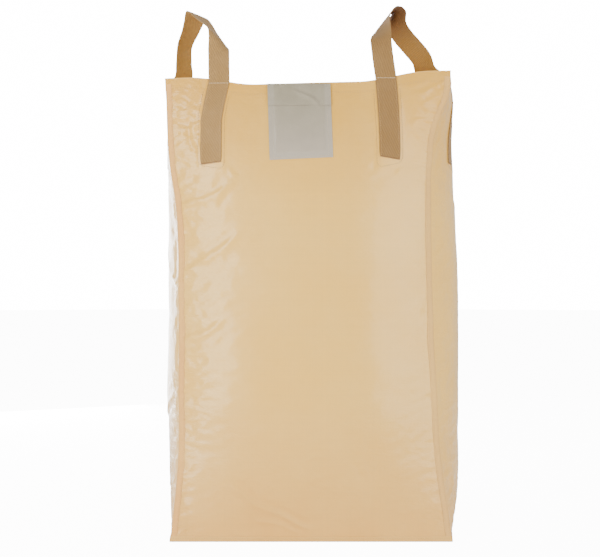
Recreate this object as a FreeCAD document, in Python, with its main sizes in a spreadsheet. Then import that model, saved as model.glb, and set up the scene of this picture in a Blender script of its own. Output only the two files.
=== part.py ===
import FreeCAD, Part

import math
import os

import Sketcher
from FreeCAD import Vector

# An open-top bulk bag of coated woven fabric. It stands on its flat base, centred on the origin,
# with +Z up and its front facing -Y. The four sides bulge, the corners draw in at mid-height and
# the rim dips between the lifting loops. Lengths are in millimetres.
DIMENSIONS = {
    # the body
    "base_width": 1000,
    "left_height": 1636,
    "right_height": 1664,
    "rim_dip": 33,
    "rim_bow": 18,
    "corner_inset": 60,
    "front_bulge": 110,
    "right_bulge": 128,
    "back_bulge": 110,
    "left_bulge": 90,
    "fabric_thickness": 1.4,
    "layer_gap": 0.3,
    # the seams and the hem
    "panel_edge_gap": 1.8,
    "corner_seam_width": 22,
    "base_seam_height": 20,
    "base_seam_thickness": 2.4,
    "base_seam_gap": 1.2,
    "base_clearance": 2.6,
    "hem_depth": 40,
    "thread_width": 2,
    "thread_thickness": 1,
    # the lifting loops and what holds them
    "webbing_width": 75,
    "webbing_thickness": 3,
    "leg_length": 290,
    "left_leg_place": 310,
    "left_leg_foot": 337,
    "right_leg_place": 275,
    "right_leg_foot": 289,
    "side_leg_place": 305,
    "side_leg_foot": 305,
    "stub_height": 56,
    "loop_gap": 4,
    "front_loop_rise": 270,
    "back_loop_rise": 165,
    "left_apex_percent": 47,
    "right_apex_percent": 25,
    "patch_width": 250,
    "patch_depth": 320,
    # the document pouch
    "pouch_width": 221,
    "pouch_depth": 266,
    "pouch_place": -30,
    "pouch_foot_place": -21,
    "pouch_film": 0.8,
    "pouch_mouth_drop": 14,
    "flap_depth": 78,
}

SIDES = ("front", "right", "back", "left")
OUTWARD = {
    "front": Vector(0, -1, 0),
    "right": Vector(1, 0, 0),
    "back": Vector(0, 1, 0),
    "left": Vector(-1, 0, 0),
}
# Each side runs from its first corner to its second, anticlockwise seen from above.
CORNERS_OF = {
    "front": ("front_left", "front_right"),
    "right": ("front_right", "back_right"),
    "back": ("back_right", "back_left"),
    "left": ("back_left", "front_left"),
}
# How a corner draws in: where along the height it is deepest, and how blunt the curve is.
# Powers below 1 put the deepest place lower, and powers above 1 put it higher.
CORNER_SHAPE = {
    "front_left": {"height_power": 0.8, "bluntness": 2.0},
    "back_left": {"height_power": 0.8, "bluntness": 2.0},
    "front_right": {"height_power": 1.4, "bluntness": 3.0},
    "back_right": {"height_power": 1.4, "bluntness": 3.0},
}
# Each loop has one leg on the front or back panel and one on the side panel beside it.
LOOPS = {
    "front_left": ("front", "left"),
    "front_right": ("front", "right"),
    "back_left": ("back", "left"),
    "back_right": ("back", "right"),
}
UP = Vector(0, 0, 1)


def fill_sheet(document):
    sheet = document.addObject("Spreadsheet::Sheet", "dimensions")
    for row, (alias, value) in enumerate(DIMENSIONS.items(), start=1):
        sheet.set(f"A{row}", alias)
        sheet.set(f"B{row}", str(value))
        sheet.setAlias(f"B{row}", alias)
    document.recompute()
    return sheet


doc = FreeCAD.newDocument("bulk_bag")
sheet = fill_sheet(doc)


def size(alias):
    return float(sheet.get(alias))


# ---- the shape of the skin ----


def corner_direction(corner):
    x = -1 if corner.endswith("left") else 1
    y = -1 if corner.startswith("front") else 1
    return Vector(x, y, 0)


def corner_height(corner):
    return size("left_height") if corner.endswith("left") else size("right_height")


def mean_height():
    return (size("left_height") + size("right_height")) / 2


def corner_reach(corner, z):
    """Half the body's width at one corner: full at the base and rim, drawn in between."""
    shape = CORNER_SHAPE[corner]
    rise = max(z / corner_height(corner), 0) ** shape["height_power"]
    drawn_in = 1 - abs(2 * rise - 1) ** shape["bluntness"]
    return size("base_width") / 2 - size("corner_inset") * drawn_in


def bulge(side, z):
    rise = z / mean_height()
    return size(f"{side}_bulge") * (1 - abs(2 * rise - 1) ** 3) + size("rim_bow") * rise


def skin_point(side, share, z):
    """The fabric's outer face, at a share of the way from the side's first corner to its second."""
    first, second = CORNERS_OF[side]
    start = corner_direction(first) * corner_reach(first, z)
    end = corner_direction(second) * corner_reach(second, z)
    out = bulge(side, z) * 4 * share * (1 - share)
    return start + (end - start) * share + OUTWARD[side] * out + UP * z


def skin_directions(side, share, z):
    """The unit directions along the side, up it, and out of it."""
    step = 0.001
    across = skin_point(side, share + step, z) - skin_point(side, share - step, z)
    upward = skin_point(side, share, z + 1) - skin_point(side, share, z - 1)
    across.normalize()
    upward.normalize()
    out = across.cross(upward)
    out.normalize()
    return across, upward, out


def share_at(side, place, z):
    """The share at a distance along the side from the body's middle plane."""
    first, second = CORNERS_OF[side]
    before = corner_reach(first, z)
    return (before + place) / (before + corner_reach(second, z))


def rim_height(side, share):
    """The rim: straight over the corners, with a dip between the loops."""
    first, second = CORNERS_OF[side]
    chord = corner_height(first) * (1 - share) + corner_height(second) * share
    beyond = min(max((abs(2 * share - 1) - 0.35) / 0.5, 0), 1)
    return chord - size("rim_dip") * (1 - beyond * beyond * (3 - 2 * beyond))


def rim_height_at(side, place):
    return rim_height(side, share_at(side, place, mean_height()))


# ---- sheets that follow the skin ----


def interpolated_face(rows):
    surface = Part.BSplineSurface()
    surface.interpolate(rows)
    return surface


def closed_between(outer, inner):
    """The closed solid between two surfaces with matching edges."""
    faces = [outer.toShape(), inner.toShape()]
    for iso in ("uIso", "vIso"):
        for end in (0, 1):
            edges = []
            for surface in (outer, inner):
                low_u, high_u, low_v, high_v = surface.bounds()
                limits = (low_u, high_u) if iso == "uIso" else (low_v, high_v)
                edges.append(getattr(surface, iso)(limits[end]).toShape())
            faces.append(Part.makeRuledSurface(*edges))
    shell = Part.makeShell(faces)
    shell.sewShape()
    solid = Part.makeSolid(shell)
    if solid.Volume < 0:
        solid.reverse()
    return solid


def sheet_solid(side, place_on_skin, low, high, columns, rows):
    """A sheet on one side, between two distances out from the skin.

    place_on_skin turns (u, v), each 0 to 1, into a share of the side and a height.
    """
    grids = {low: [], high: []}
    for column in range(columns):
        for distance, grid in grids.items():
            line = []
            for row in range(rows):
                share, z = place_on_skin(column / (columns - 1), row / (rows - 1))
                out = skin_directions(side, share, z)[2]
                line.append(skin_point(side, share, z) + out * distance)
            grid.append(line)
    return closed_between(interpolated_face(grids[high]), interpolated_face(grids[low]))


def between(low, high, share):
    return low + (high - low) * share


def band(side, first_inset, last_inset, height_at):
    """A map for a sheet that runs between two distances from the side's corners."""

    def place(u, v):
        first, second = CORNERS_OF[side]
        share = u
        for _ in range(3):
            z = height_at(share, v)
            width = corner_reach(first, z) + corner_reach(second, z)
            share = between(first_inset / width, 1 - last_inset / width, u)
        return share, height_at(share, v)

    return place


def tilted(side, width, top_place, foot_place, top, foot):
    """A map for a strip of one width whose centre line runs from its foot to its top."""

    def place(u, v):
        z = between(foot, top, v)
        along = between(foot_place, top_place, v) + width * (u - 0.5)
        return share_at(side, along, z), z

    return place


def below_rim(side, start, end, top_drop, foot_drop):
    """A map for a strip between two places along a side and two distances below the rim."""

    def place(u, v):
        along = between(start, end, u)
        rim = rim_height_at(side, along)
        z = between(rim - foot_drop, rim - top_drop, v)
        return share_at(side, along, z), z

    return place


# ---- document objects ----


def add_shape(label, shape):
    feature = doc.addObject("Part::Feature", label)
    feature.Shape = shape
    feature.Label = label
    feature.Placement = FreeCAD.Placement()
    return feature


def origin_plane(body, role):
    for feature in body.Origin.OriginFeatures:
        if feature.Role == role:
            return feature
    raise ValueError(f"no origin plane named {role}")


def bind(thing, **expressions):
    for name, expression in expressions.items():
        thing.setExpression(name, expression)


# ---- the body of the bag ----


def add_panel(side):
    edge = size("panel_edge_gap")
    place = band(side, edge, edge, lambda share, v: rim_height(side, share) * v)
    solid = sheet_solid(side, place, -size("fabric_thickness"), 0, 21, 21)
    return add_shape(f"{side}_panel", solid)


def add_base_panel():
    body = doc.addObject("PartDesign::Body", "base_panel")
    body.Label = "base_panel"
    sketch = body.newObject("Sketcher::SketchObject", "base_outline")
    sketch.AttachmentSupport = [(origin_plane(body, "XY_Plane"), "")]
    sketch.MapMode = "FlatFace"
    reach = size("base_width") / 2
    corners = [Vector(-reach, -reach, 0), Vector(reach, -reach, 0)]
    corners += [Vector(reach, reach, 0), Vector(-reach, reach, 0)]
    for index, corner in enumerate(corners):
        sketch.addGeometry(Part.LineSegment(corner, corners[(index + 1) % 4]), False)
    for index in range(4):
        following = (index + 1) % 4
        sketch.addConstraint(Sketcher.Constraint("Coincident", index, 2, following, 1))
        kind = "Horizontal" if index % 2 == 0 else "Vertical"
        sketch.addConstraint(Sketcher.Constraint(kind, index))
    sketch.addConstraint(Sketcher.Constraint("Symmetric", 0, 1, 1, 2, -1, 1))
    width = sketch.addConstraint(Sketcher.Constraint("DistanceX", 0, 1, 0, 2, 2 * reach))
    depth = sketch.addConstraint(Sketcher.Constraint("DistanceY", 1, 1, 1, 2, 2 * reach))
    inner_width = "dimensions.base_width - 2 * dimensions.base_clearance"
    sketch.setExpression(f"Constraints[{width}]", inner_width)
    sketch.setExpression(f"Constraints[{depth}]", inner_width)
    pad = body.newObject("PartDesign::Pad", "base_sheet")
    pad.Profile = sketch
    bind(pad, Length="dimensions.fabric_thickness")
    sketch.Visibility = False
    return body


def add_corner_seam(corner):
    """The folded seam allowance, laid flat on the front or back panel and stitched down."""
    side = LOOPS[corner][0]
    near, far = size("panel_edge_gap"), size("corner_seam_width")
    is_first = CORNERS_OF[side][0] == corner
    foot = size("base_seam_height") + 3

    def place(u, v):
        share = 0.5
        for _ in range(3):
            z = between(foot, rim_height(side, share) - 1, v)
            width = corner_reach(CORNERS_OF[side][0], z) + corner_reach(CORNERS_OF[side][1], z)
            inset = between(near, far, u) / width
            share = inset if is_first else 1 - inset
        return share, z

    low = 2 * size("layer_gap")
    high = low + size("fabric_thickness")
    return add_shape(f"corner_seam_{corner}", sheet_solid(side, place, low, high, 4, 25))


def add_base_seam(side):
    """The turned-up edge of the base, sewn round the foot of one side."""
    inset = size("corner_seam_width") + 4
    place = band(side, inset, inset, lambda share, v: size("base_seam_height") * v)
    low = size("base_seam_gap")
    high = low + size("base_seam_thickness")
    return add_shape(f"base_seam_{side}", sheet_solid(side, place, low, high, 21, 4))


def add_hem(side):
    """The rim's fabric, folded to the inside and down."""
    edge = size("panel_edge_gap") + 3
    depth = size("hem_depth")
    place = band(side, edge, edge, lambda share, v: rim_height(side, share) - depth * (1 - v))
    high = -size("fabric_thickness") - size("layer_gap")
    low = high - size("fabric_thickness")
    return add_shape(f"rim_hem_{side}", sheet_solid(side, place, low, high, 21, 4))


# ---- the lifting loops ----


class Station:
    """One cross-section of webbing: its middle, the way its width runs, and its outer face."""

    def __init__(self, middle, across, along):
        self.middle = middle
        self.across = (across - along * across.dot(along)).normalize()
        self.out = self.across.cross(along)

    def corner(self, sideways, outward):
        return self.middle + self.across * sideways + self.out * outward


def ribbon(stations, left, right, low, high):
    """A solid strip through the stations, between two places across and two distances out."""
    wires = []
    for station in stations:
        points = [station.corner(left, low), station.corner(right, low)]
        points += [station.corner(right, high), station.corner(left, high)]
        wires.append(Part.makePolygon(points + points[:1]))
    solid = Part.makeLoft(wires, True, True)
    if solid.Volume < 0:
        solid.reverse()
    return solid


def leg_places(corner, side):
    """How far from the middle plane a leg is at the rim and at its foot, signed along the side."""
    if side in ("left", "right"):
        top, foot = size("side_leg_place"), size("side_leg_foot")
    else:
        hand = "left" if corner.endswith("left") else "right"
        top, foot = size(f"{hand}_leg_place"), size(f"{hand}_leg_foot")
    sign = -1 if CORNERS_OF[side][0] == corner else 1
    return sign * top, sign * foot


def hinge_height(corner):
    """The height of the line that a loop folds about: the rim, halfway between its legs."""
    heights = [rim_height_at(side, leg_places(corner, side)[0]) for side in LOOPS[corner]]
    return sum(heights) / 2


def leg_stations(corner, side):
    """Cross-sections from a leg's foot, up the panel and on past the rim."""
    top, foot = leg_places(corner, side)
    rim = hinge_height(corner)
    lift = size("layer_gap") + size("webbing_thickness") / 2
    stations = []
    for step in range(9):
        z = between(rim - size("leg_length"), rim + size("stub_height"), step / 8)
        along = between(foot, top, min((z - rim) / size("leg_length") + 1, 1))
        share = share_at(side, along, z)
        across, upward, out = skin_directions(side, share, z)
        middle = skin_point(side, share, z) + out * lift
        stations.append(Station(middle, across, upward))
    return stations


def hinge_point(corner, side):
    """Where a leg's middle crosses the rim."""
    rim = hinge_height(corner)
    share = share_at(side, leg_places(corner, side)[0], rim)
    lift = size("layer_gap") + size("webbing_thickness") / 2
    return skin_point(side, share, rim) + skin_directions(side, share, rim)[2] * lift


def loop_stations(corner):
    """Cross-sections over the arch, from the leg on the front or back panel to the side leg."""
    ends = [leg_stations(corner, side)[-1] for side in LOOPS[corner]]
    up = [(station.out.cross(station.across)).normalize() for station in ends]
    start, end = [s.middle + way * size("loop_gap") for s, way in zip(ends, up)]
    hand = "left" if corner.endswith("left") else "right"
    apex_share = size(f"{hand}_apex_percent") / 100
    loop_rise = size("front_loop_rise" if corner.startswith("front") else "back_loop_rise")
    rise = hinge_height(corner) + loop_rise - size("webbing_thickness") / 2

    def over(share, height_share):
        point = start + (end - start) * share
        point.z = between(start.z, rise, height_share)
        return point

    points = [start, over(apex_share * 0.1, 0.4), over(apex_share, 1)]
    points += [over(between(apex_share, 1, 0.6), 0.7), over(between(apex_share, 1, 0.94), 0.34)]
    points.append(end)
    curve = Part.BSplineCurve()
    curve.interpolate(Points=points, InitialTangent=up[0], FinalTangent=up[1] * -1)
    arch = curve.toShape()
    across_start, across_end = ends[0].across, ends[1].across * -1
    stations = []
    count = 25
    for step in range(count):
        share = step / (count - 1)
        at = arch.getParameterByLength(arch.Length * share)
        turn = min(max((share - 0.25) / 0.65, 0), 1)
        angle = math.pi / 2 * turn * turn * (3 - 2 * turn)
        across = across_start * math.cos(angle) + across_end * math.sin(angle)
        stations.append(Station(curve.value(at), across, Vector(*curve.tangent(at)[0])))
    return stations


def add_loop(corner):
    half, thick = size("webbing_width") / 2, size("webbing_thickness") / 2
    arch = ribbon(loop_stations(corner), -half, half, -thick, thick)
    pieces = [add_shape(f"lifting_loop_{corner}", arch)]
    for side in LOOPS[corner]:
        strip = ribbon(leg_stations(corner, side), -half, half, -thick, thick)
        pieces.append(add_shape(f"leg_{corner}_on_{side}", strip))
    return pieces


def add_patch(corner, side):
    """The doubling sewn inside the panel behind a leg, below the hem."""
    middle = sum(leg_places(corner, side)) / 2
    start, end = middle - size("patch_width") / 2, middle + size("patch_width") / 2
    place = below_rim(side, start, end, size("hem_depth") + 4, size("patch_depth"))
    high = -size("fabric_thickness") - size("layer_gap")
    low = high - size("fabric_thickness")
    return add_shape(f"patch_{corner}_on_{side}", sheet_solid(side, place, low, high, 7, 7))


# ---- the document pouch ----


def pouch_top():
    return rim_height_at("front", size("pouch_place")) - 3


def add_pouch_sheet(label, top_drop, depth, layer):
    """One sheet of the pouch. Layers count outwards from the panel."""
    top = pouch_top() - top_drop
    foot = pouch_top() - depth
    lean = (size("pouch_foot_place") - size("pouch_place")) / size("pouch_depth")
    top_place = size("pouch_place") + lean * top_drop
    foot_place = size("pouch_place") + lean * depth
    place = tilted("front", size("pouch_width"), top_place, foot_place, top, foot)
    low = size("layer_gap") + layer * (size("pouch_film") + size("layer_gap"))
    return add_shape(label, sheet_solid("front", place, low, low + size("pouch_film"), 7, 7))


def add_pouch():
    back = add_pouch_sheet("pouch_back", 2, size("pouch_depth"), 0)
    front = add_pouch_sheet("pouch_front", size("pouch_mouth_drop"), size("pouch_depth"), 1)
    flap = add_pouch_sheet("pouch_flap", 0, size("flap_depth"), 2.6)
    return [back, front, flap]


# ---- the threads ----


def thread_on_skin(side, place, distance, columns, rows):
    low = distance + size("layer_gap")
    return sheet_solid(side, place, low, low + size("thread_thickness"), columns, rows)


def free_spans(side):
    """The stretches of rim that neither a leg nor the pouch covers, as places along the side."""
    covers = []
    for corner, sides in LOOPS.items():
        if side in sides:
            covers.append((leg_places(corner, side)[0], size("webbing_width") / 2))
    if side == "front":
        covers.append((size("pouch_place"), size("pouch_width") / 2))
    first, second = CORNERS_OF[side]
    edge = size("corner_seam_width") + 6
    starts = [edge - corner_reach(first, mean_height())]
    ends = []
    for middle, half in sorted(covers):
        ends.append(middle - half - 6)
        starts.append(middle + half + 6)
    ends.append(corner_reach(second, mean_height()) - edge)
    return zip(starts, ends)


def add_hem_stitching():
    rows = []
    drop = size("hem_depth") - 6
    for side in SIDES:
        for start, end in free_spans(side):
            place = below_rim(side, start, end, drop - size("thread_width"), drop)
            rows.append(thread_on_skin(side, place, 0, 9, 4))
    return add_shape("hem_stitching", Part.makeCompound(rows))


def add_leg_stitching():
    """Two rows along each leg, and one across its foot."""
    rows = []
    low = size("webbing_thickness") / 2 + 0.2
    high = low + size("thread_thickness")
    edge = size("webbing_width") / 2 - 5
    thread = size("thread_width")
    for corner, sides in LOOPS.items():
        for side in sides:
            stations = leg_stations(corner, side)[:7]
            for middle in (-edge, edge):
                rows.append(ribbon(stations, middle - thread / 2, middle + thread / 2, low, high))
            foot = Station(stations[0].middle, stations[0].across, UP)
            above = Station(foot.middle + UP * thread, foot.across, UP)
            rows.append(ribbon([foot, above], 3 - edge, edge - 3, low, high))
    return add_shape("leg_stitching", Part.makeCompound(rows))


def add_corner_stitching():
    """A row down the free edge of each folded corner seam."""
    rows = []
    foot = size("base_seam_height") + 3
    inset = size("corner_seam_width") - 5
    for side in ("front", "back"):
        for hand in (0, 1):
            def place(u, v, hand=hand):
                share = float(hand)
                for _ in range(3):
                    z = between(foot, rim_height(side, share) - 4, v)
                    first, second = CORNERS_OF[side]
                    width = corner_reach(first, z) + corner_reach(second, z)
                    away = (inset + size("thread_width") * (u - 0.5)) / width
                    share = 1 - away if hand else away
                return share, z

            rows.append(thread_on_skin(side, place, size("fabric_thickness") + 0.4, 4, 25))
    return add_shape("corner_stitching", Part.makeCompound(rows))


def add_base_stitching():
    """A row along each base seam, on its outer face."""
    rows = []
    inset = size("corner_seam_width") + 14
    out = size("base_seam_gap") + size("base_seam_thickness")
    foot = size("base_seam_height") * 0.6
    for side in SIDES:
        place = band(side, inset, inset, lambda share, v: foot + size("thread_width") * v)
        rows.append(thread_on_skin(side, place, out, 21, 4))
    return add_shape("base_stitching", Part.makeCompound(rows))


def add_pouch_stitching():
    """Rows down both sides of the pouch and across its foot, through the front sheet."""
    rows = []
    out = 2 * (size("pouch_film") + size("layer_gap"))
    lean = (size("pouch_foot_place") - size("pouch_place")) / size("pouch_depth")
    top_drop, foot_drop = size("flap_depth") + 6, size("pouch_depth") - 6
    edge = size("pouch_width") / 2 - 8
    for sideways in (-edge, edge):
        places = [size("pouch_place") + sideways + lean * drop for drop in (top_drop, foot_drop)]
        top, foot = pouch_top() - top_drop, pouch_top() - foot_drop
        place = tilted("front", size("thread_width"), places[0], places[1], top, foot)
        rows.append(thread_on_skin("front", place, out, 4, 7))
    foot_top = pouch_top() - foot_drop + size("thread_width")
    middle = size("pouch_foot_place")
    place = tilted("front", 2 * edge - 8, middle, middle, foot_top, pouch_top() - foot_drop)
    rows.append(thread_on_skin("front", place, out, 7, 4))
    return add_shape("pouch_stitching", Part.makeCompound(rows))


# ---- the whole bag ----


def add_everything():
    pieces = [add_base_panel()]
    for side in SIDES:
        pieces += [add_panel(side), add_base_seam(side), add_hem(side)]
    for corner, sides in LOOPS.items():
        pieces += [add_corner_seam(corner), *add_loop(corner)]
        pieces += [add_patch(corner, side) for side in sides]
    pieces += add_pouch()
    pieces += [add_hem_stitching(), add_leg_stitching(), add_corner_stitching()]
    pieces += [add_base_stitching(), add_pouch_stitching()]
    return pieces


def check_document():
    doc.recompute()
    for thing in doc.Objects:
        if {"Invalid", "Error"} & set(thing.State):
            raise RuntimeError(f"{thing.Label} failed to recompute: {thing.State}")


def check_piece(piece):
    shape = piece.Shape
    if shape.isNull() or not shape.isValid() or not shape.Solids:
        raise RuntimeError(f"{piece.Label} has no sound solid")
    if shape.Volume <= 0:
        raise RuntimeError(f"{piece.Label} is inside out")


def print_hinges():
    """The line that each loop folds about runs through its two legs at the rim."""
    for corner, sides in LOOPS.items():
        start, end = [hinge_point(corner, side) for side in sides]
        print(f"lifting loop {corner} folds about the line from {start} to {end}")


def export(pieces):
    os.makedirs("parts", exist_ok=True)
    for piece in pieces:
        piece.Shape.exportStep(f"parts/{piece.Label}.step")


pieces = add_everything()
check_document()
for piece in pieces:
    check_piece(piece)
export(pieces)
print_hinges()
print(f"{len(pieces)} sub-parts written")
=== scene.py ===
import math

import bpy
import numpy as np
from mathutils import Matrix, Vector


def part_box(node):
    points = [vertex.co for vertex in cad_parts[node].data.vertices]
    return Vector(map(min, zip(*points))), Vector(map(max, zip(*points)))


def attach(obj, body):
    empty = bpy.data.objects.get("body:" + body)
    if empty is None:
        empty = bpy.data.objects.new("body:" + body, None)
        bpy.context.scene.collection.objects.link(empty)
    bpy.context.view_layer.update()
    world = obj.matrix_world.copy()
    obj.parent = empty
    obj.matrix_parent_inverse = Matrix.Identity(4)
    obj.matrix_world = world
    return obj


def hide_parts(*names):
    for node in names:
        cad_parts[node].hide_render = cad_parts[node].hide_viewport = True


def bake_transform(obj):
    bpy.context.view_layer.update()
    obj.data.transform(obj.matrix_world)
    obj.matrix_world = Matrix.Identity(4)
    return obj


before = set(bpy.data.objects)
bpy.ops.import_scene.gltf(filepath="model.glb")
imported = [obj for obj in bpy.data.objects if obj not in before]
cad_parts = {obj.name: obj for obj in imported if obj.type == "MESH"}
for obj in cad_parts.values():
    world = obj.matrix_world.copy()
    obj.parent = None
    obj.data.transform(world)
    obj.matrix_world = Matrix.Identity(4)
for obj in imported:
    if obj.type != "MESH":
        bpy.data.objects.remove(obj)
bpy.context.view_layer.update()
print("stage: frame loaded")

sides = ("front", "right", "back", "left")
cornersOf = {
    "front": ("front_left", "front_right"),
    "right": ("front_right", "back_right"),
    "back": ("back_right", "back_left"),
    "left": ("back_left", "front_left"),
}
outwardOf = {"front": (0, -1, 0), "right": (1, 0, 0), "back": (0, 1, 0), "left": (-1, 0, 0)}
sidesOfLoop = {
    "front_left": ("front", "left"),
    "front_right": ("front", "right"),
    "back_left": ("back", "left"),
    "back_right": ("back", "right"),
}


# the camera

cameraSetup = {"place": (-0.026, -4.5, 0.93), "lens": 68.0, "sensor": 36.0}


def addObject(name, data):
    thing = bpy.data.objects.new(name, data)
    bpy.context.scene.collection.objects.link(thing)
    return thing


def addCamera():
    data = bpy.data.cameras.new("camera")
    data.lens = cameraSetup["lens"]
    data.sensor_width = cameraSetup["sensor"]
    camera = addObject("camera", data)
    camera.location = cameraSetup["place"]
    camera.rotation_euler = (math.radians(90), 0, 0)
    bpy.context.scene.camera = camera


addCamera()
print("stage: camera")


# the bag's outer skin: four sides that bulge between corners that are drawn in halfway up

bagShape = {
    "baseClearance": 0.0026,
    "cornerInset": 0.055,
    "cornerWobble": 0.0022,
    "rimDip": 0.033,
    "cornerLine": {  # height and sideways reach of a corner
        "left": [(0.0, 0.486), (0.077, 0.476), (0.148, 0.468), (0.254, 0.461), (0.50, 0.459),
                 (0.82, 0.4595), (1.04, 0.461), (1.136, 0.466), (1.225, 0.475), (1.338, 0.490),
                 (1.412, 0.4965), (1.578, 0.5015), (1.64, 0.503)],
        "right": [(0.0, 0.513), (0.035, 0.508), (0.099, 0.499), (0.176, 0.488), (0.289, 0.477),
                  (0.508, 0.4625), (0.741, 0.4516), (0.893, 0.446), (1.048, 0.443), (1.225, 0.442),
                  (1.334, 0.4435), (1.445, 0.454), (1.511, 0.474), (1.577, 0.500), (1.62, 0.506),
                  (1.664, 0.506)],
    },
    "fullness": {  # height and how far the middle of a side stands out from the line between its corners
        "front": [(0.0, 0.0), (0.10, 0.036), (0.20, 0.064), (0.35, 0.093), (0.60, 0.114),
                  (0.90, 0.120), (1.20, 0.113), (1.40, 0.088), (1.55, 0.047), (1.65, 0.0135)],
        "right": [(0.0, 0.012), (0.075, 0.056), (0.191, 0.092), (0.307, 0.108), (0.543, 0.126),
                  (0.73, 0.1355), (0.891, 0.139), (1.055, 0.136), (1.242, 0.124), (1.358, 0.115),
                  (1.478, 0.092), (1.594, 0.040), (1.664, 0.014)],
        "back": [(0.0, 0.0), (0.10, 0.038), (0.20, 0.066), (0.35, 0.093), (0.60, 0.112), (0.90, 0.121),
                 (1.20, 0.119), (1.40, 0.096), (1.55, 0.056), (1.65, 0.018)],
        "left": [(0.0, 0.0), (0.05, 0.020), (0.101, 0.037), (0.213, 0.057), (0.288, 0.0655),
                 (0.374, 0.0705), (0.812, 0.0705), (1.048, 0.0695), (1.149, 0.0635), (1.261, 0.047),
                 (1.36, 0.024), (1.44, 0.016), (1.578, 0.014), (1.64, 0.012)],
    },
    # a higher roundness makes a side flatter, with rounder corners
    "roundness": {"front": 2.4, "right": 3.0, "back": 2.4, "left": 3.0},
    "cornerHeight": {"left": 1.636, "right": 1.664},
    "rimGap": 0.02,  # below the mean height: places along the rim are read there, and the wobble ends
}
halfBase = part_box("base_panel")[1][0] + bagShape["baseClearance"]
cornerHeight = bagShape["cornerHeight"]
meanHeight = (cornerHeight["left"] + cornerHeight["right"]) / 2


def smooth(t):
    t = np.clip(t, 0, 1)
    return t * t * (3 - 2 * t)


def unit(vectors):
    return vectors / np.maximum(np.linalg.norm(vectors, axis=-1, keepdims=True), 1e-12)


def lengthAlong(points, power=1):
    # the distance along a line of points, from its start to each of them
    steps = np.linalg.norm(np.diff(points, axis=0), axis=1) ** power
    return np.concatenate([[0], np.cumsum(steps)])


def handOf(corner):
    return corner.split("_")[1]


def curveThrough(table, z):
    # a smooth curve through a table of heights and values
    places, values = np.array(table).T
    slopes = np.gradient(values, places)
    k = np.clip(np.searchsorted(places, z) - 1, 0, len(places) - 2)
    step = places[k + 1] - places[k]
    t = np.clip((z - places[k]) / step, 0, 1)
    start = values[k] * (1 + 2 * t) + slopes[k] * step * t
    end = values[k + 1] * (3 - 2 * t) - slopes[k + 1] * step * (1 - t)
    return start * (1 - t) ** 2 + end * t ** 2


def cornerReach(side, corner, z):
    # how far a corner lies from the middle plane, measured along the side
    sideways = not facesAcross(side)
    seed = 300 + 11 * list(sidesOfLoop).index(corner) + sideways
    wave = bagShape["cornerWobble"] * noiseField(z / 0.14 + 3, np.full_like(z, 0.5), seed)
    wave = wave * smooth(z / 0.10) * smooth((meanHeight - bagShape["rimGap"] - z) / 0.08)
    if sideways:
        return curveThrough(bagShape["cornerLine"][handOf(corner)], z) + wave
    rise = np.clip(z / meanHeight, 0, 1)
    return halfBase - bagShape["cornerInset"] * (1 - np.abs(2 * rise - 1) ** 2.4) + wave


def cornerPoint(corner, z):
    sideways = -1.0 if handOf(corner) == "left" else 1.0
    depthways = -1.0 if corner.startswith("front") else 1.0
    x, y = cornerReach("front", corner, z), cornerReach("left", corner, z)
    return np.stack([sideways * x, depthways * y, np.zeros_like(x)], -1)


def skin(side, share, z):
    first, last = cornersOf[side]
    start, end = cornerPoint(first, z), cornerPoint(last, z)
    points = start + (end - start) * share[..., None]
    bow = curveThrough(bagShape["fullness"][side], z)
    bow = bow * (1 - np.abs(2 * share - 1) ** bagShape["roundness"][side])
    points = points + bow[..., None] * np.array(outwardOf[side])
    points[..., 2] = z
    return points


def skinNormal(side, share, z):
    step = 0.001
    across = skin(side, share + step, z) - skin(side, share - step, z)
    upward = skin(side, share, z + step) - skin(side, share, z - step)
    return unit(np.cross(across, upward))


# a place on a side is its distance along the side from the middle plane, and its height

def shareAt(side, along, z):
    first, last = cornersOf[side]
    before = cornerReach(side, first, z)
    return (before + along) / (before + cornerReach(side, last, z))


def alongAt(side, share, z):
    first, last = cornersOf[side]
    before = cornerReach(side, first, z)
    return share * (before + cornerReach(side, last, z)) - before


def rimAt(side, share):
    first, last = cornersOf[side]
    chord = cornerHeight[handOf(first)] * (1 - share) + cornerHeight[handOf(last)] * share
    return chord - bagShape["rimDip"] * (1 - smooth((np.abs(2 * share - 1) - 0.35) / 0.5))


def rimAbove(side, along):
    return rimAt(side, shareAt(side, along, np.full_like(along, meanHeight - bagShape["rimGap"])))


# the fabric's relief over the skin: slow waves, crumples, and a few long creases

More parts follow.
